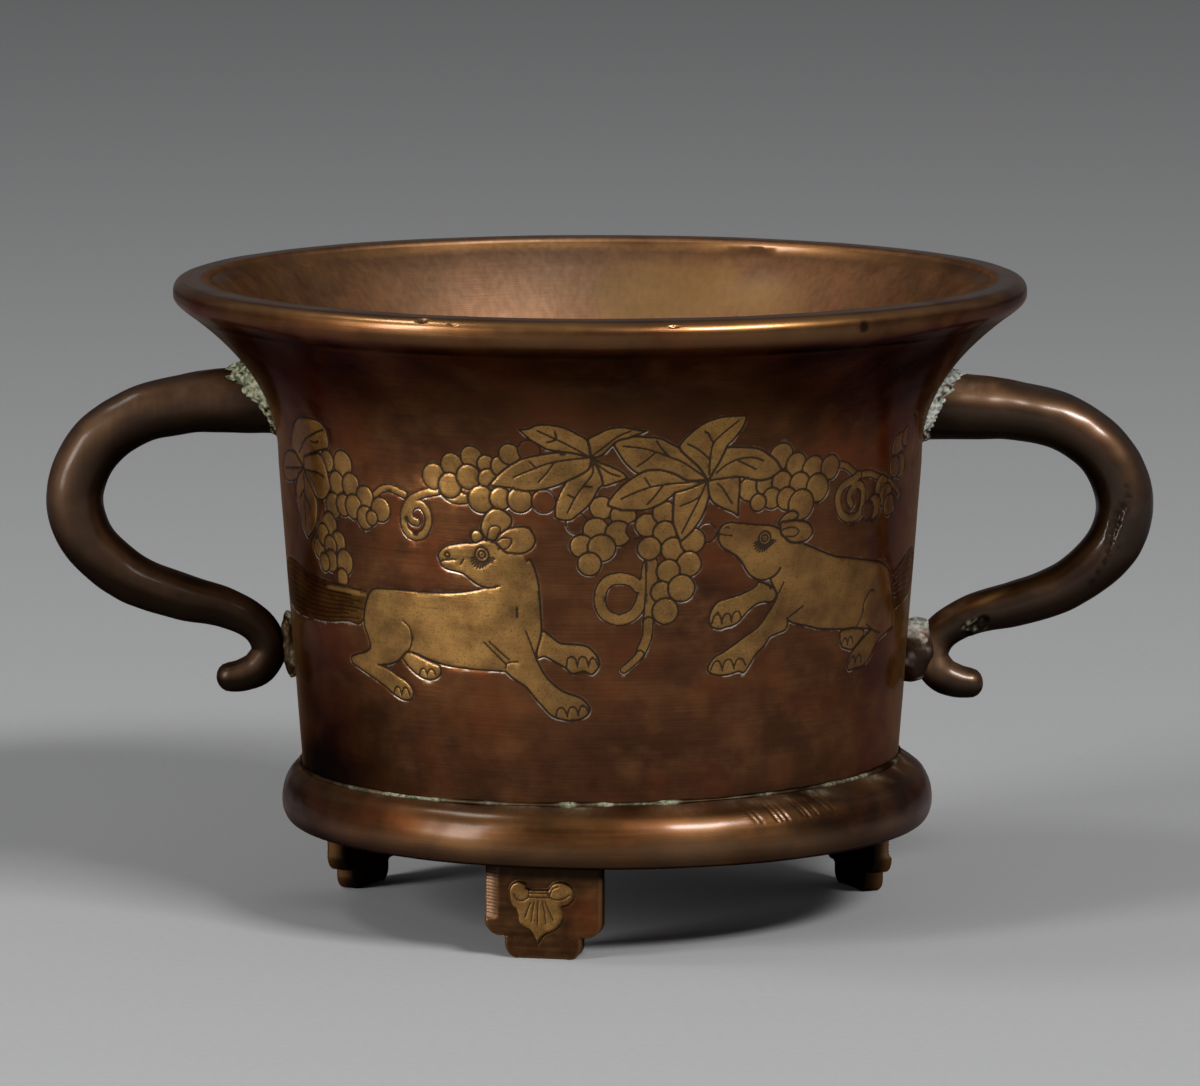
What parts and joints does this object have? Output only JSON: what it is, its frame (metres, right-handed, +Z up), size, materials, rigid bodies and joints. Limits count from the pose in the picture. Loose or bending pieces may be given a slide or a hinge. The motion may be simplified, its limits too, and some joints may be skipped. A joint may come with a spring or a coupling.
{
  "type": "bronze censer",
  "caption": "Small cylindrical bronze censer with a flared rim, looped side handles, a moulded base ring and cloud-shaped feet; an open bowl for ash and incense.",
  "frame": {"origin": "on the vessel's axis, at the level of the floor it stands on", "axes": "+X to the right, through the two handles; +Z up, along the vessel's axis; the front is -Y"},
  "size_m": [0.1405, 0.108, 0.081],
  "materials": {
    "bronze": "dark red-brown patinated bronze, satin, with chased and gilt ornament on the wall",
    "gilt": "worn parcel gilding, satin",
    "solder": "soft solder crusted with pale green verdigris, matt"
  },
  "bodies": {
    "root": {"vessel_body": "bronze", "base_plate": "bronze", "base_ring": "bronze", "base_seam_solder": "solder", "handle_left": "bronze", "handle_left_upper_solder": "solder", "handle_left_lower_solder": "solder", "handle_right": "bronze", "handle_right_upper_solder": "solder", "handle_right_lower_solder": "solder", "foot_front": "bronze", "foot_left": "bronze", "foot_right": "bronze", "foot_front_leaf": "gilt", "foot_left_leaf": "gilt", "foot_right_leaf": "gilt"}
  },
  "joints": []
}
